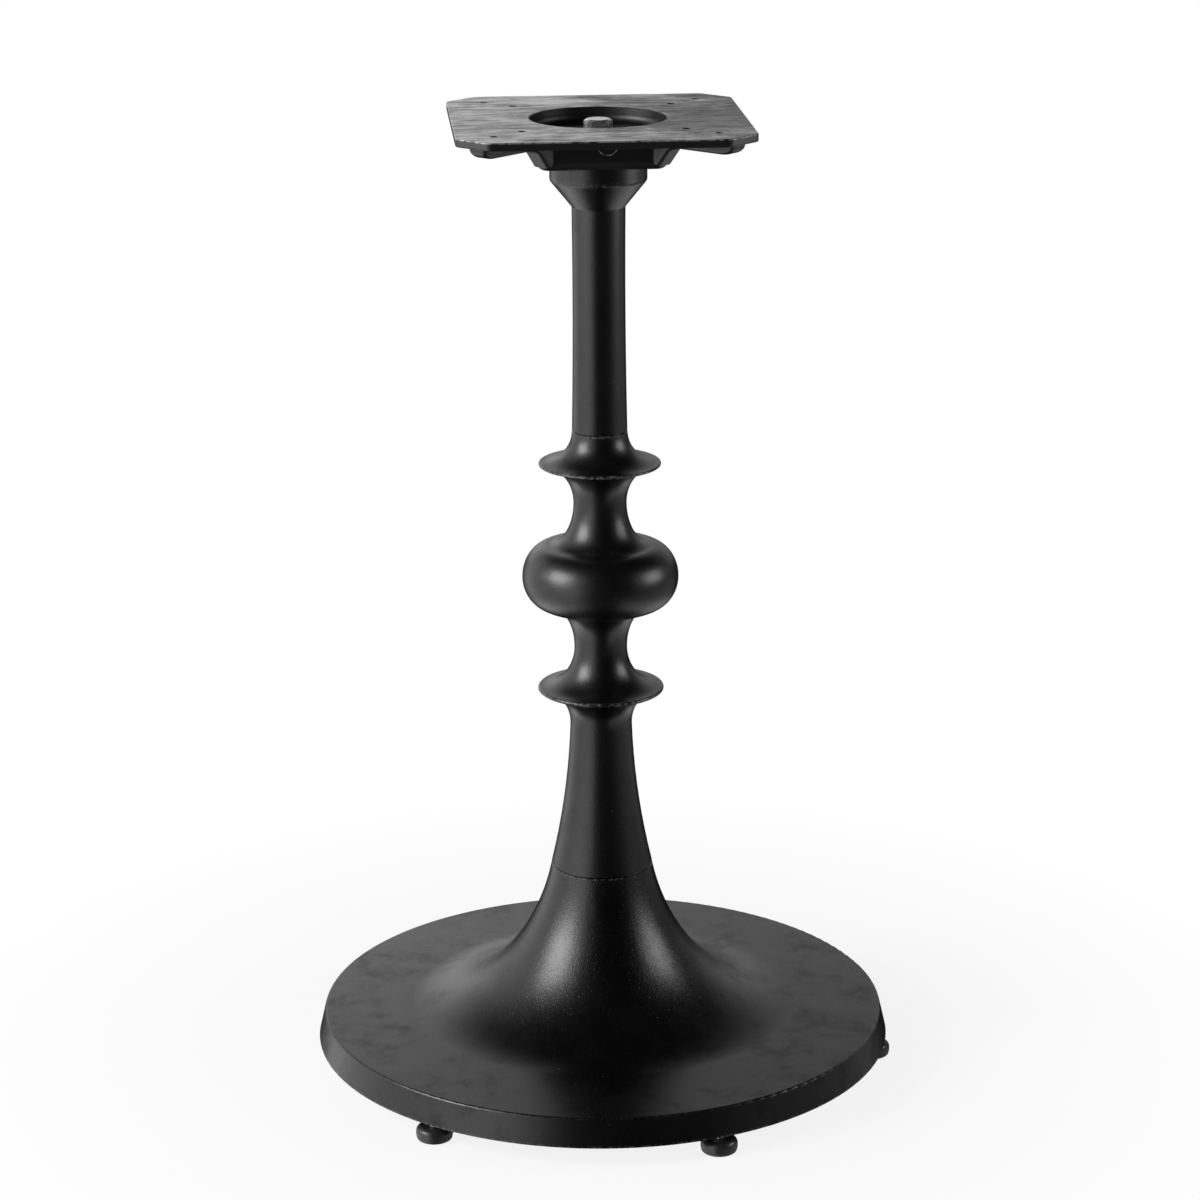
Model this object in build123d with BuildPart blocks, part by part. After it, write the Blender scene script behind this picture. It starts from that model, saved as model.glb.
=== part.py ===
from build123d import *
import os
from math import asin, cos, degrees, radians, sqrt, tan

os.makedirs("parts", exist_ok=True)

# Pedestal table base, in millimetres. The origin is on the floor under the column's axis, +Z is
# up, and the top plate's sides run along X and Y.

# Round foot casting
rim_lift = 15.0            # floor to the rim's lower edge
rim_height = 21.0
rim_r = 217.5              # at the rim's lower edge
rim_draft = 5.0            # how far the rim leans in over its height
rim_round = 1.8
rim_wall = 7.0
disc_fall = 2.0            # how far the disc drops from the flare out to the rim
flare_r = 150.0            # where the flare runs out into the disc
throat_r = 34.0            # where the flare would stand upright
base_height = 135.0        # rim's lower edge to the seam under the baluster
base_wall = 6.5
inner_corner_r = 4.0
web_thickness = 14.0

# Seams between the castings
seam_r = 38.0              # column radius at the seam on the base
seam_chamfer = 0.7
base_spigot_r = 28.0
shaft_spigot_r = 14.0
spigot_length = 8.0
spigot_clearance = 0.2
spigot_end_gap = 0.5
core_r = 9.5               # cored hole down the column castings

# Baluster casting, in stages from the seam up
stem_length = 111.8
stem_r = 23.05
stem_hollow = 2.8          # how far the stem's outline curves in from a straight taper
lower_cove = 26.1
lower_lip = 3.0
lower_flange_r = 46.9
lower_neck_rise = 30.6
neck_r = 19.6
bulb_lower_cove = 31.6
bulb_lower = 22.9
bulb_upper = 24.0
bulb_upper_cove = 32.5
bulb_r = 57.9
bulb_shoulder_r = 38.9
upper_cove = 28.4
upper_lip = 2.2
upper_flange_r = 45.0
baluster_neck_rise = 23.9
baluster_top_r = 20.5

# Upper column casting
shaft_length = 165.5
shaft_foot_r = 20.3
shaft_top_r = 19.45
shaft_hollow = 0.65
cone_height = 19.4
capital_r = 35.2
capital_height = 25.6
capital_round = 4.0

# Top plate casting
plate_side = 210.4
plate_thickness = 6.0
corner_clip = 21.0
corner_round = 7.0
plate_under_round = 1.3
plate_top_round = 0.6
pan_r = 49.2
pan_depth = 11.0
pan_floor_round = 5.0
pan_floor_thickness = 8.0
pan_wall = 5.0
pan_under_thickness = 4.0
hub_half = 47.0
hub_depth = 31.0           # plate's top to the hub's lower face
hub_corner_r = 9.0
hub_under_round = 7.0
hub_socket_clearance = 0.5
rib_width = 16.5
rib_depth = 8.0            # below the plate's underside
rib_inset = 5.0            # a clipped corner in to the rib's nose
rib_nose_length = 12.0
rib_nose_height = 6.5
rib_edge_round = 4.0
gusset_start = 73.0        # distance from the axis where a rib starts to drop to the hub
gusset_angle = 52.0
gusset_round = 8.0
gusset_foot_round = 5.0
gusset_lift = 3.0          # hub's lower face up to the gusset's
screw_hole_r = 3.1
outer_screw_spacing = 156.0
inner_screw_spacing = 115.0
boss_r = 7.6
boss_drop = 12.2           # plate's top to the boss's centre
boss_stand = 2.2
boss_x = 3.0
boss_round = 0.8

# Tie bolt, its washers and its nut
bolt_r = 6.0
bolt_hole_r = 6.75
hex_flats = 18.0
hex_face_inset = 1.0       # how far the turned face's circle lies inside the flats
hex_turn_angle = 30.0
bolt_end_chamfer = 1.0
head_height = 7.5
nut_height = 10.8
thread_past_nut = 6.0
thread_clearance = 0.05
washer_hole_r = 6.5
top_washer_r = 12.0
top_washer_thickness = 2.5
bottom_washer_r = 18.0
bottom_washer_thickness = 3.0
head_turn = -2.0           # the head's front flat is left a little off the plate's square

# Glides under the rim
glide_count = 6
glide_inset = 10.5         # the rim's lower edge in to a glide's axis
glide_phase = -10.7        # the round foot may be turned on the bolt
glide_boss_r = 10.0
stud_r = 4.0
stud_clearance = 0.06
stud_engagement = 12.0
stud_end_gap = 0.5
stud_end_chamfer = 0.7
glide_travel_in = 4.0
stud_head_r = 7.5
sole_r = 13.0
sole_height = 5.0
sole_band = 3.6
sole_round = 2.0
sole_seat_r = 12.0
cap_r = 13.4
cap_sheet = 1.1
cap_skirt = 2.6
cap_top_r = 9.0
cap_height = 6.9
cap_seat_clearance = 0.2

# Heights and places that follow
glide_circle_r = rim_r - glide_inset
z_rim = rim_lift
z_rim_top = z_rim + rim_height
z_flare = z_rim_top + disc_fall
z_seam = z_rim + base_height
z_web = z_seam - spigot_length - web_thickness
z_stem = z_seam + stem_length
z_lip_1 = z_stem + lower_cove
z_lip_1_top = z_lip_1 + lower_lip
z_neck_1 = z_lip_1_top + lower_neck_rise
z_bulb_foot = z_neck_1 + bulb_lower_cove
z_bulb = z_bulb_foot + bulb_lower
z_bulb_head = z_bulb + bulb_upper
z_neck_2 = z_bulb_head + bulb_upper_cove
z_lip_2 = z_neck_2 + upper_cove
z_lip_2_top = z_lip_2 + upper_lip
z_shaft = z_lip_2_top + baluster_neck_rise
z_cone = z_shaft + shaft_length
z_capital = z_cone + cone_height
z_column_top = z_capital + capital_height
z_pan = z_column_top + pan_floor_thickness
z_top = z_pan + pan_depth
z_plate = z_top - plate_thickness
z_hub = z_top - hub_depth
cut_margin = 1.0           # how far a cutting solid runs past the face that it opens


def quarter(upright, level):
    """A quarter of an ellipse from the point where it stands upright to where it lies level."""
    outward = upright[0] > level[0]
    upward = level[1] > upright[1]
    EllipticalCenterArc(
        (level[0], upright[1]),
        abs(level[0] - upright[0]),
        abs(level[1] - upright[1]),
        0 if outward else 180,
        arc_size=90 if outward == upward else -90,
    )


# Round foot: a disc with a tapered rim that rises in a quarter of an ellipse to the seam. The
# hollow under it follows the same ellipse one wall inside, and leaves six bosses standing.
flare_a = flare_r - throat_r
flare_k = sqrt(1 - ((flare_r - seam_r) / flare_a) ** 2)
flare_b = (z_seam - z_flare) / (1 - flare_k)
flare_centre = (flare_r, z_flare + flare_b)
seam_angle = 180 + degrees(asin(flare_k))


def rim_outside(z):
    """Radius of the rim's outer face at a height."""
    return rim_r - rim_draft * (z - z_rim) / rim_height


with BuildPart() as base_hollow:
    with BuildSketch(Plane.XZ):
        with BuildLine():
            hollow_a = flare_a + base_wall
            hollow_b = flare_b + base_wall
            hollow_angle = 180 + degrees(asin((flare_centre[1] - z_web) / hollow_b))
            flank = EllipticalCenterArc(
                flare_centre, hollow_a, hollow_b, hollow_angle, arc_size=270 - hollow_angle
            )
            ceiling = z_rim_top - base_wall
            Polyline(
                flank @ 1,
                (rim_outside(ceiling) - rim_wall, ceiling),
                (rim_r - rim_wall, z_rim),
                (rim_r - rim_wall, z_rim - cut_margin),
                (0, z_rim - cut_margin),
                (0, z_web),
                flank @ 0,
            )
        fillet(make_face().vertices().sort_by(Axis.X)[-3], inner_corner_r)
    revolve(axis=Axis.Z)
    with BuildSketch(Plane.XY.offset(z_rim - cut_margin)):
        with PolarLocations(glide_circle_r, glide_count, start_angle=glide_phase):
            Circle(glide_boss_r)
    extrude(amount=rim_height + cut_margin, mode=Mode.SUBTRACT)

with BuildPart() as base:
    with BuildSketch(Plane.XZ):
        with BuildLine():
            flank = EllipticalCenterArc(
                flare_centre, flare_a, flare_b, seam_angle, arc_size=270 - seam_angle
            )
            Polyline(
                flank @ 1,
                (rim_outside(z_rim_top), z_rim_top),
                (rim_r, z_rim),
                (0, z_rim),
                (0, z_seam),
                flank @ 0,
            )
        fillet(make_face().vertices().sort_by(Axis.X)[-2], rim_round)
    revolve(axis=Axis.Z)
    chamfer(base.edges().group_by(Axis.Z)[-1], seam_chamfer)
    add(base_hollow.part, mode=Mode.SUBTRACT)
    with Locations((0, 0, z_seam)):
        CounterBoreHole(bolt_hole_r, base_spigot_r + spigot_clearance, spigot_length)
    with BuildSketch(Plane.XY.offset(z_rim)):
        with PolarLocations(glide_circle_r, glide_count, start_angle=glide_phase):
            Circle(stud_r + stud_clearance)
    extrude(amount=stud_engagement + glide_travel_in + stud_end_gap, mode=Mode.SUBTRACT)
base.part.label = "base"
export_step(base.part, "parts/base.step")

# Baluster: a hollow-curved stem, two thin flanges with round lips and a flattened bulb between
# their necks, turned about one axis and cored for the tie bolt.
with BuildPart() as baluster:
    with BuildSketch(Plane.XZ):
        with BuildLine():
            lip_1_r = lower_flange_r - lower_lip / 2
            lip_2_r = upper_flange_r - upper_lip / 2
            stem_foot = (seam_r, z_seam + seam_chamfer)
            SagittaArc(stem_foot, (stem_r, z_stem), stem_hollow)
            quarter((stem_r, z_stem), (lip_1_r, z_lip_1))
            ThreePointArc(
                (lip_1_r, z_lip_1),
                (lower_flange_r, z_lip_1 + lower_lip / 2),
                (lip_1_r, z_lip_1_top),
            )
            quarter((neck_r, z_neck_1), (lip_1_r, z_lip_1_top))
            quarter((neck_r, z_neck_1), (bulb_shoulder_r, z_bulb_foot))
            quarter((bulb_r, z_bulb), (bulb_shoulder_r, z_bulb_foot))
            quarter((bulb_r, z_bulb), (bulb_shoulder_r, z_bulb_head))
            quarter((neck_r, z_neck_2), (bulb_shoulder_r, z_bulb_head))
            quarter((neck_r, z_neck_2), (lip_2_r, z_lip_2))
            ThreePointArc(
                (lip_2_r, z_lip_2),
                (upper_flange_r, z_lip_2 + upper_lip / 2),
                (lip_2_r, z_lip_2_top),
            )
            baluster_head = (baluster_top_r, z_shaft - seam_chamfer)
            quarter(baluster_head, (lip_2_r, z_lip_2_top))
            socket_r = shaft_spigot_r + spigot_clearance
            socket_floor = z_shaft - spigot_length - spigot_end_gap
            Polyline(
                baluster_head,
                (baluster_top_r - seam_chamfer, z_shaft),
                (socket_r, z_shaft),
                (socket_r, socket_floor),
                (core_r, socket_floor),
                (core_r, z_seam - spigot_length + spigot_end_gap),
                (base_spigot_r, z_seam - spigot_length + spigot_end_gap),
                (base_spigot_r, z_seam),
                (seam_r - seam_chamfer, z_seam),
                stem_foot,
            )
        make_face()
    revolve(axis=Axis.Z)
baluster.part.label = "baluster"
export_step(baluster.part, "parts/baluster.step")

# Upper column: a waisted shaft on its own spigot, opening in a cone to the capital that the top
# plate's hub sits over.
with BuildPart() as upper_column:
    with BuildSketch(Plane.XZ):
        with BuildLine():
            shaft_foot = (shaft_foot_r, z_shaft + seam_chamfer)
            SagittaArc(shaft_foot, (shaft_top_r, z_cone), shaft_hollow)
            Polyline(
                (shaft_top_r, z_cone),
                (capital_r, z_capital),
                (capital_r, z_column_top),
                (core_r, z_column_top),
                (core_r, z_shaft - spigot_length),
                (shaft_spigot_r, z_shaft - spigot_length),
                (shaft_spigot_r, z_shaft),
                (shaft_foot_r - seam_chamfer, z_shaft),
                shaft_foot,
            )
        capital_edge = make_face().vertices().group_by(Axis.X)[-1]
        fillet(capital_edge.sort_by(Axis.Y)[0], capital_round)
    revolve(axis=Axis.Z)
upper_column.part.label = "upper_column"
export_step(upper_column.part, "parts/upper_column.step")

# One rib of the top plate, drawn along X: level under the plate, round at its nose, dropping in a
# gusset to the hub.
rib_end = (plate_side - corner_clip) / sqrt(2) - rib_inset
z_rib = z_plate - rib_depth
z_gusset = z_hub + gusset_lift
gusset_end = gusset_start - (z_rib - z_gusset) / tan(radians(gusset_angle))

with BuildPart() as plate_rib:
    with BuildSketch(Plane.XZ):
        with BuildLine():
            nose_top = (rib_end, z_rib + rib_nose_height)
            nose = (rib_end - rib_nose_length, z_rib)
            quarter(nose_top, nose)
            Polyline(
                nose,
                (gusset_start, z_rib),
                (gusset_end, z_gusset),
                (hub_half, z_gusset),
                (hub_half, z_plate),
                (rib_end, z_plate),
                nose_top,
            )
        gusset_foot, gusset_head = make_face().vertices().sort_by(Axis.X)[-5:-3]
        fillet(gusset_head, gusset_round)
        fillet(gusset_foot, gusset_foot_round)
    extrude(amount=rib_width / 2, both=True)
    side_edges = plate_rib.faces().filter_by(Axis.Y).edges()
    under_edges = side_edges.filter_by(Axis.Z, reverse=True).sort_by(Axis.Z)[:-2]
    fillet(under_edges, rib_edge_round)

# Square hub collar under the pan, with round corners and a rounded lower edge.
with BuildPart() as plate_hub:
    with BuildSketch(Plane.XY.offset(z_hub)):
        RectangleRounded(2 * hub_half, 2 * hub_half, hub_corner_r)
    extrude(amount=z_plate - z_hub)
    fillet(plate_hub.faces().sort_by(Axis.Z)[0].edges(), hub_under_round)

# Small round boss that the mould leaves on the hub's front
with BuildPart() as plate_boss:
    with BuildSketch(Plane.XZ.offset(hub_half + boss_stand)):
        with Locations((boss_x, z_top - boss_drop)):
            Circle(boss_r)
    extrude(amount=-(boss_stand + hub_corner_r))
    fillet(plate_boss.faces().sort_by(Axis.Y)[0].edges(), boss_round)

# Top plate: a square with clipped corners on the hub and ribs. The pan sinks the bolt's head below
# the table top, the hub's socket takes the capital, and the screw holes lie on the diagonals.
with BuildPart() as top_plate:
    with BuildSketch(Plane.XY.offset(z_plate)) as outline:
        Rectangle(plate_side, plate_side)
        chamfer(outline.vertices(), corner_clip)
        fillet(outline.vertices(), corner_round)
    extrude(amount=plate_thickness)
    fillet(top_plate.faces().sort_by(Axis.Z)[0].edges(), plate_under_round)
    fillet(top_plate.faces().sort_by(Axis.Z)[-1].edges(), plate_top_round)
    add(plate_hub.part)
    with PolarLocations(0, 4, start_angle=45):
        add(plate_rib.part)
    add(plate_boss.part)
    with BuildSketch(Plane.XZ):
        with BuildLine():
            dish_r = pan_r + pan_wall
            dish_floor = z_pan - pan_under_thickness
            dish_side = (dish_r, dish_floor + pan_under_thickness)
            quarter(dish_side, (dish_r - pan_wall, dish_floor))
            Polyline(
                dish_side,
                (dish_r, z_plate + plate_under_round),
                (0, z_plate + plate_under_round),
                (0, dish_floor),
                (dish_r - pan_wall, dish_floor),
            )
        make_face()
    revolve(axis=Axis.Z)
    with BuildSketch(Plane.XZ):
        with BuildLine():
            pan_side = (pan_r, z_pan + pan_floor_round)
            quarter(pan_side, (pan_r - pan_floor_round, z_pan))
            Polyline(
                pan_side,
                (pan_r, z_top - plate_top_round),
                (pan_r + plate_top_round, z_top),
                (pan_r + plate_top_round, z_top + cut_margin),
                (0, z_top + cut_margin),
                (0, z_pan),
                (pan_r - pan_floor_round, z_pan),
            )
        make_face()
    revolve(axis=Axis.Z, mode=Mode.SUBTRACT)
    with BuildSketch(Plane.XY.offset(z_hub - cut_margin)):
        Circle(capital_r + hub_socket_clearance)
    extrude(amount=z_column_top - z_hub + cut_margin, mode=Mode.SUBTRACT)
    with BuildSketch(Plane.XY.offset(z_top + cut_margin)):
        Circle(bolt_hole_r)
        for spacing in (outer_screw_spacing, inner_screw_spacing):
            with GridLocations(spacing, spacing, 2, 2):
                Circle(screw_hole_r)
    extrude(amount=-(hub_depth + 2 * cut_margin), mode=Mode.SUBTRACT)
top_plate.part.label = "top_plate"
export_step(top_plate.part, "parts/top_plate.step")

# Washers under the bolt's head in the pan, and under the web inside the round foot
with BuildPart() as top_washer:
    with BuildSketch(Plane.XY.offset(z_pan)):
        Circle(top_washer_r)
        Circle(washer_hole_r, mode=Mode.SUBTRACT)
    extrude(amount=top_washer_thickness)
top_washer.part.label = "top_washer"
export_step(top_washer.part, "parts/top_washer.step")

with BuildPart() as bottom_washer:
    with BuildSketch(Plane.XY.offset(z_web - bottom_washer_thickness)):
        Circle(bottom_washer_r)
        Circle(washer_hole_r, mode=Mode.SUBTRACT)
    extrude(amount=bottom_washer_thickness)
bottom_washer.part.label = "bottom_washer"
export_step(bottom_washer.part, "parts/bottom_washer.step")

# Hexagons with their corners turned off
hex_corner_r = hex_flats / 2 / cos(radians(30))
hex_face_r = hex_flats / 2 - hex_face_inset
hex_fall = (hex_corner_r - hex_face_r) * tan(radians(hex_turn_angle))

# Tie bolt: one hex head in the pan and a shank that runs down through every casting
z_head = z_pan + top_washer_thickness
z_nut_top = z_web - bottom_washer_thickness
z_nut = z_nut_top - nut_height
z_bolt_end = z_nut - thread_past_nut

with BuildPart() as tie_bolt:
    with BuildSketch(Plane.XY.offset(z_head)):
        RegularPolygon(hex_flats / 2, 6, major_radius=False, rotation=head_turn)
    extrude(amount=head_height)
    with BuildSketch(Plane.XZ):
        with BuildLine():
            Polyline(
                (0, z_head),
                (hex_corner_r, z_head),
                (hex_corner_r, z_head + head_height - hex_fall),
                (hex_face_r, z_head + head_height),
                (0, z_head + head_height),
                close=True,
            )
        make_face()
    revolve(axis=Axis.Z, mode=Mode.INTERSECT)
    with BuildSketch(Plane.XY.offset(z_head)):
        Circle(bolt_r)
    extrude(amount=z_bolt_end - z_head)
    chamfer(tie_bolt.faces().sort_by(Axis.Z)[0].edges(), bolt_end_chamfer)
tie_bolt.part.label = "tie_bolt"
export_step(tie_bolt.part, "parts/tie_bolt.step")

with BuildPart() as tie_nut:
    with BuildSketch(Plane.XY.offset(z_nut)):
        RegularPolygon(hex_flats / 2, 6, major_radius=False)
        Circle(bolt_r + thread_clearance, mode=Mode.SUBTRACT)
    extrude(amount=nut_height)
    with BuildSketch(Plane.XZ):
        with BuildLine():
            Polyline(
                (0, z_nut),
                (hex_face_r, z_nut),
                (hex_corner_r, z_nut + hex_fall),
                (hex_corner_r, z_nut_top - hex_fall),
                (hex_face_r, z_nut_top),
                (0, z_nut_top),
                close=True,
            )
        make_face()
    revolve(axis=Axis.Z, mode=Mode.INTERSECT)
tie_nut.part.label = "tie_nut"
export_step(tie_nut.part, "parts/tie_nut.step")

# Glides, turned about the column's axis line and then set round the rim: a nylon sole, a stamped
# steel cap that seats on the sole's shoulder, and a stud whose head the two hold between them.
z_cap_top = sole_band + cap_height
z_cap_ceiling = z_cap_top - cap_sheet
z_stud_top = z_rim + stud_engagement

with BuildPart() as sole_blank:
    with BuildSketch(Plane.XZ):
        with BuildLine():
            quarter((sole_r, sole_round), (sole_r - sole_round, 0))
            Polyline(
                (sole_r, sole_round),
                (sole_r, sole_band),
                (sole_seat_r, sole_band),
                (sole_seat_r, sole_height),
                (0, sole_height),
                (0, 0),
                (sole_r - sole_round, 0),
            )
        make_face()
    revolve(axis=Axis.Z)

with BuildPart() as cap_blank:
    with BuildSketch(Plane.XZ):
        with BuildLine():
            cap_inner_r = sole_seat_r + cap_seat_clearance
            z_skirt = sole_band + cap_skirt
            outer_side = (cap_r, z_skirt)
            inner_side = (cap_inner_r, z_skirt)
            quarter(outer_side, (cap_top_r, z_cap_top))
            quarter(inner_side, (cap_top_r, z_cap_ceiling))
            Polyline(outer_side, (cap_r, sole_band), (cap_inner_r, sole_band), inner_side)
            Polyline(
                (cap_top_r, z_cap_top),
                (stud_r + cap_seat_clearance, z_cap_top),
                (stud_r + cap_seat_clearance, z_cap_ceiling),
                (cap_top_r, z_cap_ceiling),
            )
        make_face()
    revolve(axis=Axis.Z)

with BuildPart() as stud_blank:
    with BuildSketch(Plane.XY.offset(sole_height)):
        Circle(stud_head_r)
    extrude(amount=z_cap_ceiling - sole_height)
    with BuildSketch(Plane.XY.offset(z_cap_ceiling)):
        Circle(stud_r)
    extrude(amount=z_stud_top - z_cap_ceiling)
    chamfer(stud_blank.faces().sort_by(Axis.Z)[-1].edges(), stud_end_chamfer)

glide_places = PolarLocations(glide_circle_r, glide_count, start_angle=glide_phase).locations
for number, place in enumerate(glide_places, start=1):
    for kind, blank in (("sole", sole_blank), ("cap", cap_blank), ("stud", stud_blank)):
        with BuildPart() as glide:
            with Locations(place):
                add(blank.part)
        glide.part.label = f"glide_{kind}_{number}"
        export_step(glide.part, f"parts/glide_{kind}_{number}.step")
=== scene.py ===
from math import cos, pi, radians, sin, tan

import bpy
from mathutils import Matrix, Vector


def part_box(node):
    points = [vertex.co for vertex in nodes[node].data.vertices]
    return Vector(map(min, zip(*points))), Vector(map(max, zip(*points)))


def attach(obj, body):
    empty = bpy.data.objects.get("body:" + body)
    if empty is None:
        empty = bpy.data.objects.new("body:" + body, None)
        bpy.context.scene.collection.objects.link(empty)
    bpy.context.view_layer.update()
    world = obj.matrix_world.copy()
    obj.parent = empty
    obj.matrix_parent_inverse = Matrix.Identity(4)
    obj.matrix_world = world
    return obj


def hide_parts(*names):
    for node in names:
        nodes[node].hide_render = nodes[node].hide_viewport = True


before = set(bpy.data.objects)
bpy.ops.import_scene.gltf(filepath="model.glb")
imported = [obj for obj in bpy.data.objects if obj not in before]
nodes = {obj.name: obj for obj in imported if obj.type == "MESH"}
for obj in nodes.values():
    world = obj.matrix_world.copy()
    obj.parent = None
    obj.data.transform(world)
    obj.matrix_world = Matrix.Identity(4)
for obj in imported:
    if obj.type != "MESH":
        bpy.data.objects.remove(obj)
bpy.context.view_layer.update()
scene = bpy.context.scene

# The round foot: one iron casting, dished and hollow underneath, that flares up to the column.
# Its skin is the sand mould's, filled and sanded by hand, then sprayed satin black. Dust lies in
# the dish, hands have smudged the disc, and the skirt's bottom edge is rubbed. A faint light line
# on the rim's top edge and a light line just under the seam are painted highlights.
foot_low, foot_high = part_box("base")
rim_height = 0.021
rim_draft = 0.005
rim_top_z = foot_low.z + rim_height
rim_top_r = foot_high.x - rim_draft
base_height = 0.135
seam_z = foot_low.z + base_height
seam_r = 0.038
seam_edge_drop = 0.0009
seam_highlight_reach = 0.0010
rim_highlight_reach = 0.0018
skirt_wear_reach = 0.0022
smooth_rise = 0.003
grainy_rise = 0.022
paint_relief = 0.00022
paint_black = (0.0006, 0.0006, 0.0006, 1)
paint_smudged = (0.0024, 0.0024, 0.0025, 1)
# A light grey laid both on really rubbed edges and as painted highlight lines along edges.
paint_rubbed_and_highlight = (0.075, 0.074, 0.072, 1)
dust_grey = (0.30, 0.29, 0.28, 1)


class Value:
    """A node's output, so that shader sums can be written as plain expressions."""

    def __init__(self, tree, socket):
        self.tree = tree
        self.socket = socket

    def node(self, kind, settings=None, sockets=None, out=0):
        """Adds a node: its settings first, then each socket's value or link."""
        made = self.tree.nodes.new(kind)
        for name, value in (settings or {}).items():
            setattr(made, name, value)
        for name, value in (sockets or {}).items():
            if isinstance(value, Value):
                self.tree.links.new(value.socket, made.inputs[name])
            else:
                made.inputs[name].default_value = value
        return Value(self.tree, made.outputs[out])

    def sum_of(self, operation, first, second=0.0):
        return self.node("ShaderNodeMath", {"operation": operation}, {0: first, 1: second})

    def __add__(self, other):
        return self.sum_of("ADD", self, other)

    def __sub__(self, other):
        return self.sum_of("SUBTRACT", self, other)

    def __rsub__(self, other):
        return self.sum_of("SUBTRACT", other, self)

    def __mul__(self, other):
        return self.sum_of("MULTIPLY", self, other)

    def __truediv__(self, other):
        return self.sum_of("DIVIDE", self, other)

    def __pow__(self, other):
        return self.sum_of("POWER", self, other)

    def __gt__(self, other):
        return self.sum_of("GREATER_THAN", self, other)

    __radd__ = __add__
    __rmul__ = __mul__

    def rise(self, low, high):
        """Goes smoothly from 0 at low to 1 at high, and from 1 to 0 where high is the lesser."""
        ends = {"Value": self, "From Min": min(low, high), "From Max": max(low, high)}
        ends["To Min"], ends["To Max"] = (0, 1) if low < high else (1, 0)
        return self.node("ShaderNodeMapRange", {"interpolation_type": "SMOOTHSTEP"}, ends)

    def most(self, other):
        return self.sum_of("MAXIMUM", self, other)

    def noise(self, scale, detail=3.0, roughness=0.5):
        ends = {"Vector": self, "Scale": scale, "Detail": detail, "Roughness": roughness}
        return self.node("ShaderNodeTexNoise", {}, ends)

    def stretched(self, along, turn=0.0):
        """Coordinates in which a texture is stretched axis by axis, then turned about Z."""
        ends = {"Vector": self, "Scale": along, "Rotation": (0, 0, turn)}
        return self.node("ShaderNodeMapping", {"vector_type": "TEXTURE"}, ends)

    def parts(self):
        split = self.node("ShaderNodeSeparateXYZ", {}, {"Vector": self}).socket.node
        return [Value(self.tree, socket) for socket in split.outputs]

    def tinted(self, first, second):
        """The first colour where this is 0, the second where it is 1."""
        return self.node("ShaderNodeMix", {"data_type": "RGBA"}, {0: self, 6: first, 7: second}, 2)


def new_finish(name):
    """A material, its shader, and its object's own coordinates in metres."""
    material = bpy.data.materials.new(name)
    material.use_nodes = True
    tree = material.node_tree
    shader = tree.nodes["Principled BSDF"]
    coordinates = tree.nodes.new("ShaderNodeTexCoord")
    return material, shader, Value(tree, coordinates.outputs["Object"])


def feed(shader, name, value):
    value.tree.links.new(value.socket, shader.inputs[name])


def bumped(height, depth):
    """A normal from a height that runs from 0 to 1 over a depth in metres."""
    ends = {"Height": height, "Distance": depth, "Strength": 1.0}
    return height.node("ShaderNodeBump", {}, ends)


def edge_ring(place, radius, height, reach):
    """1 on a circle about the column's axis, falling to 0 a reach away from it."""
    x, y, z = place.parts()
    off = (x * x + y * y) ** 0.5 - radius
    up = z - height
    return ((off * off + up * up) ** 0.5).rise(reach, 0.0)


def sparse_specks(place, scale, size, share):
    """Round specks of a size, as a part of the cell that each lies in, in a share of the cells."""
    cell = place.node("ShaderNodeTexVoronoi", {}, {"Vector": place, "Scale": scale})
    chance = Value(place.tree, cell.socket.node.outputs["Color"]).parts()[0]
    return cell.rise(size, size * 0.6) * (chance > 1 - share)


def black_paint(name, dullness, worn_and_highlit, dusted, grained):
    """Satin black over a casting. Three functions turn coordinates into masks: one for rubbed edges
    and painted highlight lines, which share one light colour, one for dust and one for grain.
    """
    material, shader, place = new_finish(name)
    clouds = place.noise(13, 5, 0.62).rise(0.42, 0.70)
    stains = place.noise(42, 6, 0.68).rise(0.46, 0.70) * place.noise(11, 2).rise(0.32, 0.54)
    smears = place.stretched((4.0, 1.0, 0.6)).noise(36, 4, 0.6).rise(0.50, 0.74)
    orange_peel = place.noise(240, 3, 0.6)
    grain = place.noise(600, 3, 0.7)
    pits = sparse_specks(place, 430, 0.36, 0.30)
    specks = sparse_specks(place, 95, 0.055, 0.13) + sparse_specks(place, 330, 0.10, 0.012)
    wear_and_highlight = worn_and_highlit(place) * place.noise(420, 3).rise(0.46, 0.62)
    low = dusted(place)
    smudge = (clouds * 0.6 + smears * 0.4) * (0.30 + low * 0.70)
    colour = smudge.tinted(paint_black, paint_smudged)
    # Rubbed paint and painted highlight lines both take the light rubbed colour.
    colour = wear_and_highlight.tinted(colour, paint_rubbed_and_highlight)
    colour = (specks * 0.4).tinted(colour, dust_grey)
    feed(shader, "Base Color", colour)
    feed(shader, "Roughness", dullness + smudge * 0.09 + grain * 0.12 - wear_and_highlight * 0.06 + specks * 0.3)
    feed(shader, "Coat Weight", 0.40 - stains * low * 0.38)
    shader.inputs["Specular IOR Level"].default_value = 0.30
    shader.inputs["Coat Roughness"].default_value = 0.30
    height = (orange_peel * 0.45 + grain - pits * 0.4) * grained(place) + specks * 0.10
    feed(shader, "Normal", bumped(height, paint_relief))
    return material


# The rim and seam rings are painted highlights in the rubbed colour, the rim's kept faint; the
# skirt ring is real rubbed paint.
def foot_wear_and_highlights(place):
    rim = edge_ring(place, rim_top_r, rim_top_z, rim_highlight_reach)
    skirt = edge_ring(place, foot_high.x, foot_low.z, skirt_wear_reach)
    seam = edge_ring(place, seam_r, seam_z - seam_edge_drop, seam_highlight_reach)
    return (rim * 0.20).most(skirt).most(seam)


def foot_dusted(place):
    return place.parts()[2].rise(foot_high.z, rim_top_z)


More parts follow.
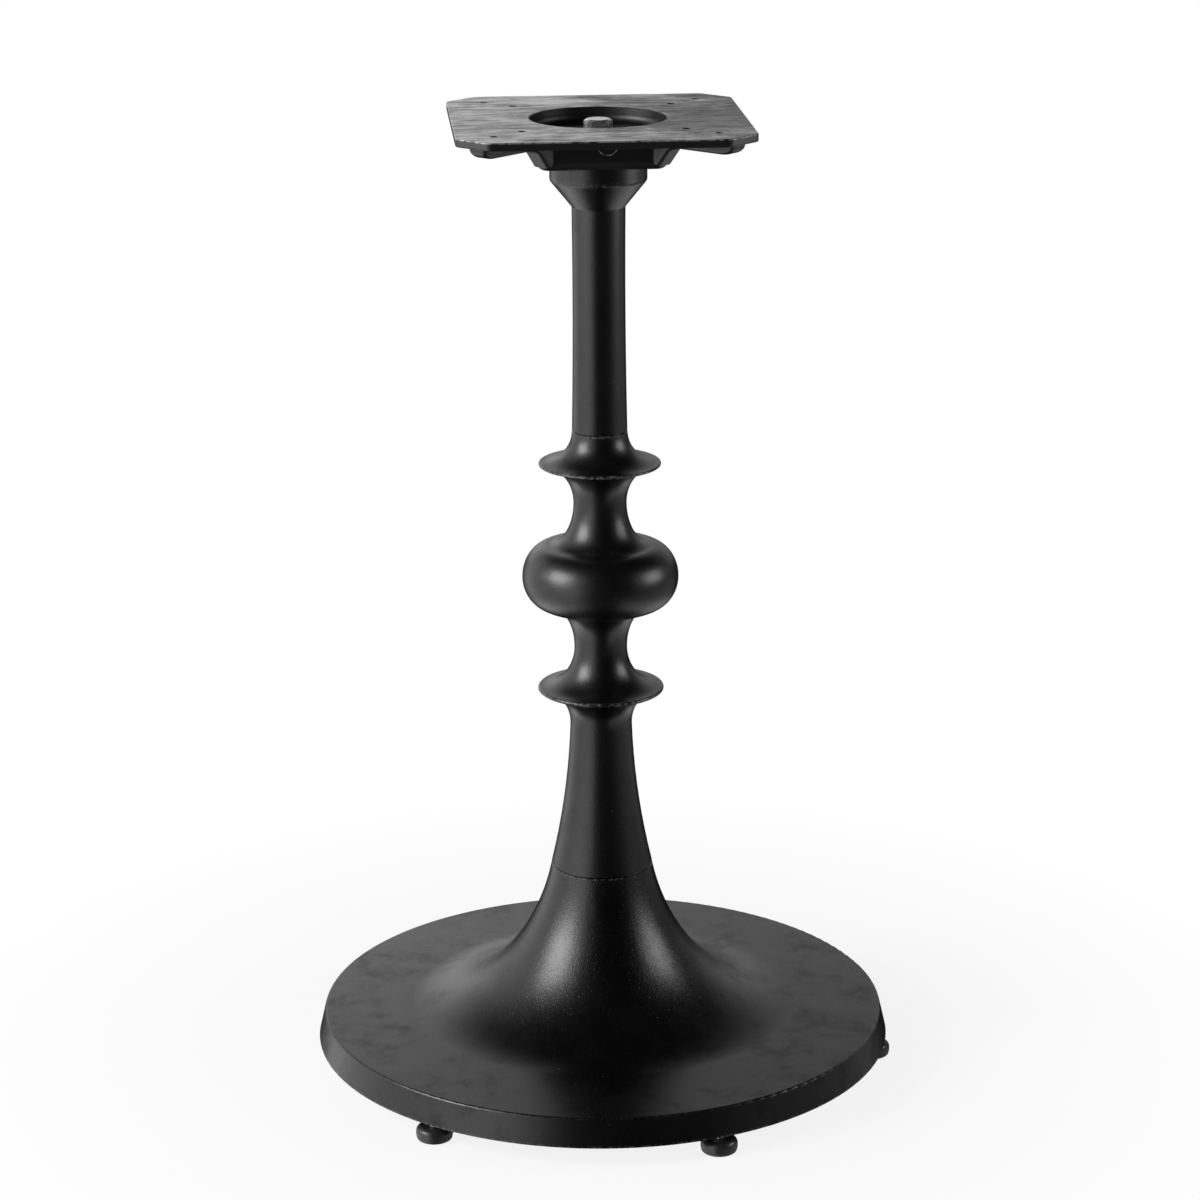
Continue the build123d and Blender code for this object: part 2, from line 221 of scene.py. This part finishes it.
def foot_grained(place):
    z = place.parts()[2]
    return 0.20 + z.rise(rim_top_z + smooth_rise, rim_top_z + grainy_rise) * 0.68


foot_paint = black_paint("foot_black_paint", 0.21, foot_wear_and_highlights, foot_dusted, foot_grained)
nodes["base"].material_slots[0].material = foot_paint

# The baluster: a second iron casting, with a flared stem, two thin flanges and a flattened bulb.
# It was turned smooth before it was painted, so its grain is finer; light lines on its lips and
# just under the top of its neck are painted highlights.
baluster_low, baluster_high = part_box("baluster")
lower_lip_z = 0.2894
upper_lip_z = 0.4620
lower_lip_r = 0.0469
upper_lip_r = 0.0450
lip_highlight_reach = 0.0032
neck_top_r = 0.0206
neck_edge_drop = 0.0007
neck_highlight_reach = 0.0014


# Painted highlights: light lines in the rubbed colour round both lips and just under the top of the
# neck.
def baluster_edge_highlights(place):
    lower = edge_ring(place, lower_lip_r, lower_lip_z, lip_highlight_reach)
    upper = edge_ring(place, upper_lip_r, upper_lip_z, lip_highlight_reach)
    head = edge_ring(place, neck_top_r, baluster_high.z - neck_edge_drop, neck_highlight_reach)
    return lower.most(upper).most(head) * 1.6


def baluster_dusted(place):
    return place.noise(5, 2).rise(0.3, 0.7)


def baluster_grained(place):
    return place.parts()[2].rise(baluster_high.z, baluster_low.z) * 0.25 + 0.40


baluster_paint = black_paint(
    "baluster_black_paint", 0.28, baluster_edge_highlights, baluster_dusted, baluster_grained
)
nodes["baluster"].material_slots[0].material = baluster_paint

# The upper column: the third casting, a slim shaft whose spigot drops into the baluster and whose
# capital goes up into the plate's hub. It is turned and painted like the baluster, with a light
# line painted round the shaft's foot as a highlight and the capital's edge rubbed.
column_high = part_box("upper_column")[1]
shaft_foot_r = 0.0203
shaft_highlight_reach = 0.0012
capital_edge_drop = 0.0245
capital_wear_reach = 0.0030


# The ring at the shaft's foot is a painted highlight; the capital's ring is rubbed paint.
def column_highlight_and_wear(place):
    foot = edge_ring(place, shaft_foot_r, baluster_high.z, shaft_highlight_reach)
    capital_z = column_high.z - capital_edge_drop
    capital = edge_ring(place, column_high.x, capital_z, capital_wear_reach)
    return foot.most(capital * 0.5)


column_paint = black_paint(
    "column_black_paint", 0.25, column_highlight_and_wear, baluster_dusted, baluster_grained
)
nodes["upper_column"].material_slots[0].material = column_paint

# The top plate: a ribbed iron casting whose top is ground flat and left nearly bare, so that the
# wheel's streaks show through a thin dark film. Painted shade darkens its right side, painted light
# its front, and a painted sheen lies at its back left. Its underside keeps the black paint.
plate_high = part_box("top_plate")[1]
ground_iron = (0.86, 0.86, 0.86, 1)
ground_dark = (0.035, 0.035, 0.036, 1)
# A light grey laid on rubbed plate edges and as the painted highlight round the boss.
ground_worn_and_highlit = (0.22, 0.22, 0.22, 1)
boss_x = 0.0030
boss_drop = 0.0122
boss_r = 0.0072
boss_back = -0.0470
boss_front = -0.0510
boss_highlight_reach = 0.0009
side_edge = 0.1050
corner_edge = 0.1890
edge_band = 0.0010
edge_wear_drop = 0.0014
edge_wear_full = 0.0006
ground_drop = 0.00030
ground_full = 0.00006
# Painted light: the film thins towards the plate's front edge, so the front is lighter.
front_light_from = -0.050
front_light_full = -0.090
# A painted sheen: a ragged lighter patch of bare iron at the plate's back left.
sheen_patch_x = -0.028
sheen_patch_y = 0.078
sheen_patch_reach = 0.030
sheen_patch_full = 0.022
sheen_patch_ragged = 0.020
ground_relief = 0.00014


def plate_paint(name):
    """Black paint underneath, ground iron with streaks and stains on the top face, rubbed edges,
    painted shade to the right, painted light at the front, a painted sheen at the back left and a
    painted highlight round the boss.
    """
    material, shader, place = new_finish(name)
    x, y, z = place.parts()
    wide = x.sum_of("ABSOLUTE", x)
    deep = y.sum_of("ABSOLUTE", y)
    drop = plate_high.z - z
    ground = drop.rise(ground_drop, ground_full)
    streaks = place.stretched((9.0, 1.0, 1.0), 0.10).noise(330, 4, 0.65)
    stains = place.noise(75, 6, 0.70)
    # Painted light: less film towards the front edge.
    painted_front_light = y.rise(front_light_from, front_light_full)
    # The film's noise is a real dark film; its rise towards the right is painted shade on that
    # side.
    film_and_right_shade = (place.noise(30, 5, 0.65) + x * 2.4 - painted_front_light * 0.14).rise(0.39, 0.71)
    across = x - sheen_patch_x
    along = y - sheen_patch_y
    off_patch = (across * across * 0.4 + along * along) ** 0.5
    # Painted sheen patch at the back left, added to the bare iron mask.
    painted_sheen_patch = (off_patch + stains * sheen_patch_ragged).rise(sheen_patch_reach, sheen_patch_full)
    bare_and_sheen = (streaks * 0.70 + stains * 0.30 + painted_sheen_patch * 0.10).rise(0.32, 0.66)
    sides = wide.most(deep).rise(side_edge - edge_band, side_edge)
    corners = (wide + deep).rise(corner_edge - edge_band, corner_edge)
    brim = sides.most(corners) * drop.rise(edge_wear_drop, edge_wear_full)
    beside = x - boss_x
    below = drop - boss_drop
    off_boss = (beside * beside + below * below) ** 0.5 - boss_r
    before_hub = y.rise(boss_back, boss_back - edge_band)
    boss_face = before_hub * y.rise(boss_front, boss_front + edge_band)
    # A painted highlight: a light ring round the boss's front edge, in the rubbed colour.
    boss_rim_highlight = off_boss.sum_of("ABSOLUTE", off_boss).rise(boss_highlight_reach, 0.0) * boss_face
    worn_and_highlit = brim.most(boss_rim_highlight) * place.noise(300, 3).rise(0.36, 0.56)
    grain = place.noise(700, 3, 0.7)
    clouds = place.noise(16, 4).rise(0.42, 0.70)
    paint = worn_and_highlit.tinted(clouds.tinted(paint_black, paint_smudged), ground_worn_and_highlit)
    metal = (bare_and_sheen * (1 - film_and_right_shade * 0.66)).tinted(ground_dark, ground_iron)
    feed(shader, "Base Color", ground.tinted(paint, metal))
    feed(shader, "Metallic", (ground * bare_and_sheen * (0.9 - film_and_right_shade * 0.35)).most(worn_and_highlit * 0.5))
    feed(shader, "Roughness", 0.38 + grain * 0.10 + ground * (0.06 - bare_and_sheen * 0.10 + film_and_right_shade * 0.10))
    height = grain * 0.30 + ground * (streaks * 0.35 + stains * 0.15)
    feed(shader, "Normal", bumped(height, ground_relief))
    return material


nodes["top_plate"].material_slots[0].material = plate_paint("plate_black_paint")

# The tie bolt, its washers and its nut: bought zinc-plated steel. One long bolt drops from the pan
# through every casting, and the nut under the foot's web draws them all together.
zinc = (0.92, 0.92, 0.91, 1)
zinc_dull = (0.52, 0.52, 0.51, 1)
zinc_relief = 0.00006


def zinc_plate(name):
    material, shader, place = new_finish(name)
    spangle = place.noise(260, 4, 0.65).rise(0.36, 0.68)
    rub = place.noise(900, 2).rise(0.35, 0.70)
    feed(shader, "Base Color", (spangle * 0.45).tinted(zinc, zinc_dull))
    feed(shader, "Roughness", 0.20 + spangle * 0.14 + rub * 0.08)
    feed(shader, "Normal", bumped(spangle * 0.5 + rub * 0.3, zinc_relief))
    shader.inputs["Metallic"].default_value = 0.95
    return material


bolt_zinc = zinc_plate("bolt_zinc")
for name in ("top_washer", "bottom_washer", "tie_nut"):
    nodes[name].material_slots[0].material = bolt_zinc

bolt_low, bolt_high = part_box("tie_bolt")
bolt_r = 0.0060
bolt_pitch = 0.00175
bolt_thread_depth = 0.0010
bolt_thread_length = 0.050
head_height = 0.0075
head_flats = 0.018
head_face_r = 0.0080
head_slope = radians(30)
head_turn = radians(-2.0)
head_steps = 96
sharp_angle = radians(25)
thread_sides = 40
thread_rows = 10
thread_end_taper = 1.2


def rings_to_piece(name, rings, material):
    """A closed piece from rings of points that go from its top down, capped at both ends."""
    count = len(rings[0])
    points = [point for ring in rings for point in ring]
    faces = [tuple(range(count))]
    for top in range(0, (len(rings) - 1) * count, count):
        for step in range(count):
            after = (step + 1) % count
            faces.append((top + step, top + count + step, top + count + after, top + after))
    faces.append(tuple(reversed(range(len(points) - count, len(points)))))
    mesh = bpy.data.meshes.new(name)
    mesh.from_pydata(points, [], faces)
    mesh.shade_smooth()
    mesh.set_sharp_from_angle(angle=sharp_angle)
    mesh.materials.append(material)
    made = bpy.data.objects.new(name, mesh)
    scene.collection.objects.link(made)
    return made


def hex_head_rings(steps):
    """Face, turned-off corners, flats and shank of a hexagon bolt, all round its axis."""
    rings = [[] for _ in range(5)]
    head_low = bolt_high.z - head_height
    for step in range(steps):
        angle = 2 * pi * step / steps
        flat_r = head_flats / 2 / cos(angle % (pi / 3) - pi / 6)
        fall = (flat_r - head_face_r) * tan(head_slope)
        outline = (
            (head_face_r, bolt_high.z),
            (flat_r, bolt_high.z - fall),
            (flat_r, head_low),
            (bolt_r, head_low),
            (bolt_r, bolt_low.z + bolt_thread_length - bolt_pitch),
        )
        for ring, (radius, height) in zip(rings, outline):
            turned = angle + head_turn
            ring.append((radius * cos(turned), radius * sin(turned), height))
    return rings


def thread_tree():
    """Geometry Nodes: a rod along Z with a screw thread cut in it and both ends chamfered."""
    tree = bpy.data.node_groups.new("screw_thread", "GeometryNodeTree")
    wanted = {"Radius": "Float", "Pitch": "Float", "Thread Depth": "Float", "Length": "Float"}
    wanted.update({"Middle": "Vector", "Finish": "Material"})
    for name, kind in wanted.items():
        tree.interface.new_socket(name, in_out="INPUT", socket_type=f"NodeSocket{kind}")
    tree.interface.new_socket("Rod", in_out="OUTPUT", socket_type="NodeSocketGeometry")
    asked = tree.nodes.new("NodeGroupInput")
    given = [Value(tree, asked.outputs[name]) for name in wanted]
    radius, pitch, depth, length, middle, finish = given
    sizes = {"Vertices": thread_sides, "Side Segments": length / pitch * thread_rows}
    sizes.update({"Radius": radius, "Depth": length})
    rod = length.node("GeometryNodeMeshCylinder", {}, sizes)
    place = length.node("GeometryNodeInputPosition")
    x, y, z = place.parts()
    turn = z / pitch - y.sum_of("ARCTAN2", y, x) / (2 * pi)
    root = 1 - 2 * turn.sum_of("ABSOLUTE", turn.sum_of("FRACT", turn) - 0.5)
    end = (length / 2 - z.sum_of("ABSOLUTE", z)) / depth
    shrink = 1 - root.most((1 - end) * thread_end_taper) * depth / radius
    cut = length.node("ShaderNodeCombineXYZ", {}, {0: x * shrink, 1: y * shrink, 2: z})
    rod = rod.node("GeometryNodeSetPosition", {}, {"Geometry": rod, "Position": cut})
    rod = rod.node("GeometryNodeTransform", {}, {"Geometry": rod, "Translation": middle})
    rod = rod.node("GeometryNodeRealizeInstances", {}, {"Geometry": rod})
    rod = rod.node("GeometryNodeSetMaterial", {}, {"Geometry": rod, "Material": finish})
    tree.links.new(rod.socket, tree.nodes.new("NodeGroupOutput").inputs["Rod"])
    return tree


screw_thread = thread_tree()


def threaded_rod(name, values):
    """The thread tree's rod for these values, as a plain mesh."""
    made = bpy.data.objects.new(name, bpy.data.meshes.new(name))
    scene.collection.objects.link(made)
    modifier = made.modifiers.new("screw_thread", "NODES")
    modifier.node_group = screw_thread
    for socket in screw_thread.interface.items_tree:
        if socket.in_out == "INPUT":
            modifier[socket.identifier] = values[socket.name]
    seen_as = made.evaluated_get(bpy.context.evaluated_depsgraph_get())
    mesh = bpy.data.meshes.new_from_object(seen_as)
    made.modifiers.remove(modifier)
    made.data = mesh
    return made


bolt_head = rings_to_piece("tie_bolt_head", hex_head_rings(head_steps), bolt_zinc)
bolt_thread = threaded_rod("tie_bolt_thread", {
    "Radius": bolt_r,
    "Pitch": bolt_pitch,
    "Thread Depth": bolt_thread_depth,
    "Length": bolt_thread_length,
    "Middle": (0, 0, bolt_low.z + bolt_thread_length / 2),
    "Finish": bolt_zinc,
})
for piece in (bolt_head, bolt_thread):
    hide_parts("tie_bolt")
    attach(piece, "pedestal")

# The glides: six studs screwed up into bosses in the rim, each with a pressed steel cap, blacked,
# crimped over a nylon sole.
cap_black = (0.016, 0.016, 0.017, 1)
cap_rubbed = (0.10, 0.10, 0.10, 1)
nylon_black = (0.014, 0.014, 0.014, 1)
nylon_scuffed = (0.075, 0.073, 0.070, 1)
glide_relief = 0.00005


def blacked_steel(name):
    material, shader, place = new_finish(name)
    blotch = place.noise(210, 4).rise(0.40, 0.70)
    rub = place.noise(700, 3).rise(0.55, 0.75)
    feed(shader, "Base Color", (rub * 0.6).tinted(cap_black, cap_rubbed))
    feed(shader, "Roughness", 0.30 + blotch * 0.18)
    feed(shader, "Metallic", rub * 0.6)
    feed(shader, "Normal", bumped(blotch * 0.4 + rub * 0.2, glide_relief))
    return material


def nylon(name):
    material, shader, place = new_finish(name)
    scuff = place.stretched((1.0, 1.0, 0.07)).noise(60, 4).rise(0.45, 0.72)
    feed(shader, "Base Color", scuff.tinted(nylon_black, nylon_scuffed))
    feed(shader, "Roughness", 0.46 + scuff * 0.22)
    feed(shader, "Normal", bumped(scuff, glide_relief))
    return material


glide_steel = blacked_steel("glide_blacked_steel")
glide_nylon = nylon("glide_nylon")
glide_count = 6
stud_r = 0.0040
stud_pitch = 0.00125
stud_thread_depth = 0.00072
stud_head_r = 0.0075
stud_head_height = 0.0044
stud_head_steps = 40


def stud_head_rings(middle, low, steps):
    """The flat round head that holds a stud between its cap and its sole."""
    angles = [2 * pi * step / steps for step in range(steps)]
    return [
        [
            (middle.x + stud_head_r * cos(angle), middle.y + stud_head_r * sin(angle), height)
            for angle in angles
        ]
        for height in (low + stud_head_height, low)
    ]


for number in range(1, glide_count + 1):
    nodes[f"glide_cap_{number}"].material_slots[0].material = glide_steel
    nodes[f"glide_sole_{number}"].material_slots[0].material = glide_nylon
    stud_low, stud_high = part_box(f"glide_stud_{number}")
    stud_middle = (stud_low + stud_high) / 2
    stud_thread_low = stud_low.z + stud_head_height
    stud_rings = stud_head_rings(stud_middle, stud_low.z, stud_head_steps)
    stud_head = rings_to_piece(f"glide_stud_head_{number}", stud_rings, bolt_zinc)
    stud_thread = threaded_rod(f"glide_stud_thread_{number}", {
        "Radius": stud_r,
        "Pitch": stud_pitch,
        "Thread Depth": stud_thread_depth,
        "Length": stud_high.z - stud_thread_low,
        "Middle": (stud_middle.x, stud_middle.y, (stud_high.z + stud_thread_low) / 2),
        "Finish": bolt_zinc,
    })
    for piece in (stud_head, stud_thread):
        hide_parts(f"glide_stud_{number}")
        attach(piece, f"glide_{number}")

# The studio: a white floor and background, a large soft light on the left, a small weak one on
# the right, and a room that shines from the left and from behind and is dark at the front.
floor_half = 4.0
floor_shade = 0.14
shade_full = 0.25
shade_reach = 0.60
lamp_target = Vector((0, 0, 0.40))
floor_mesh = bpy.data.meshes.new("floor")
floor_corners = [(-1, -1), (1, -1), (1, 1), (-1, 1)]
floor_points = [(x * floor_half, y * floor_half, 0) for x, y in floor_corners]
floor_mesh.from_pydata(floor_points, [], [(0, 1, 2, 3)])
floor = bpy.data.objects.new("floor", floor_mesh)
scene.collection.objects.link(floor)
floor.visible_glossy = False
floor_material = bpy.data.materials.new("floor_white")
floor_material.use_nodes = True
floor_tree = floor_material.node_tree
floor_tree.nodes.clear()
floor_out = floor_tree.nodes.new("ShaderNodeOutputMaterial")
floor_path = Value(floor_tree, floor_tree.nodes.new("ShaderNodeLightPath").outputs["Is Camera Ray"])
floor_place = Value(floor_tree, floor_tree.nodes.new("ShaderNodeTexCoord").outputs["Object"])
floor_reach = floor_place.node("ShaderNodeVectorMath", {"operation": "LENGTH"}, {0: floor_place}, 1)
floor_far = 1 - floor_shade + floor_reach.rise(shade_full, shade_reach) * floor_shade
floor_matt = floor_path.node("ShaderNodeBsdfDiffuse", {}, {"Color": (0.8, 0.8, 0.8, 1)})
floor_glow = floor_path.node("ShaderNodeEmission", {}, {"Color": (1, 1, 1, 1), "Strength": 1.0})
floor_ends = {0: floor_path * floor_far, 1: floor_matt, 2: floor_glow}
floor_mix = floor_path.node("ShaderNodeMixShader", {}, floor_ends)
floor_tree.links.new(floor_mix.socket, floor_out.inputs["Surface"])
floor_mesh.materials.append(floor_material)

world = bpy.data.worlds.new("studio")
scene.world = world
world.use_nodes = True
world_tree = world.node_tree
backdrop = world_tree.nodes["Background"]
facing = Value(world_tree, world_tree.nodes.new("ShaderNodeTexCoord").outputs["Generated"])
seen = Value(world_tree, world_tree.nodes.new("ShaderNodeLightPath").outputs["Is Camera Ray"])
across, away, up = facing.parts()
left_fall = 1.15 + away.rise(0.10, -0.70) * 0.65
left_wall = (across * -1).rise(0.32, 0.72) * up.rise(0.95, 0.45) * left_fall
right_wall = across.rise(0.55, 0.90) * up.rise(0.75, 0.30) * (0.16 + up.rise(-0.10, -0.30) * 0.25)
back_fall = 1.10 - across.rise(-0.10, 0.14) * 0.60
back_wall = away.rise(0.35, 0.95) * up.rise(-0.12, 0.14) * up.rise(0.80, 0.35) * back_fall
floor_fall = 2.0 - across.rise(0.0, 0.3) * 0.9
lit_floor = up.rise(-0.35, -0.75) * (across * across).rise(0.04, 0.25) * floor_fall
front_room = 0.006 + away.rise(-0.30, -0.90) * up.rise(0.10, -0.10) * 0.08
room = front_room + left_wall.most(right_wall).most(back_wall).most(lit_floor)
backdrop.inputs["Color"].default_value = (1, 1, 1, 1)
feed(backdrop, "Strength", seen + (1 - seen) * room)


def soft_box(name, place, width, height, power):
    """A rectangular lamp at a place, turned to the middle of the column."""
    lamp = bpy.data.lights.new(name, "AREA")
    lamp.shape = "RECTANGLE"
    lamp.size, lamp.size_y = width, height
    lamp.energy = power
    made = bpy.data.objects.new(name, lamp)
    aim = (lamp_target - Vector(place)).to_track_quat("-Z", "Y")
    made.matrix_world = Matrix.Translation(place) @ aim.to_matrix().to_4x4()
    scene.collection.objects.link(made)


soft_box("left_soft_box", (-1.75, -0.53, 1.20), 1.15, 1.0, 38)
soft_box("right_soft_box", (1.47, -0.25, 0.80), 0.8, 0.6, 8.2)

# The camera: a long lens a little above the plate, looking down on the foot. It is turned off the
# plate's square by a few degrees and rolled a hair.
camera_turn = radians(-4.43)
camera_pitch = radians(16.842)
camera_roll = radians(-0.30)
camera_x = -0.0004
camera_reach = 2.4771
camera_height = 1.1068
camera_lens = 104.57
camera = bpy.data.objects.new("camera", bpy.data.cameras.new("camera"))
camera.data.lens = camera_lens
camera.data.sensor_width = 36.0
camera.data.clip_end = 50.0
camera_swing = Matrix.Rotation(camera_turn, 4, "Z")
camera_place = camera_swing @ Vector((camera_x, -camera_reach, camera_height))
camera_tilt = Matrix.Rotation(pi / 2 - camera_pitch, 4, "X") @ Matrix.Rotation(camera_roll, 4, "Z")
camera.matrix_world = Matrix.Translation(camera_place) @ camera_swing @ camera_tilt
scene.collection.objects.link(camera)
scene.camera = camera
scene.view_settings.view_transform = "Standard"
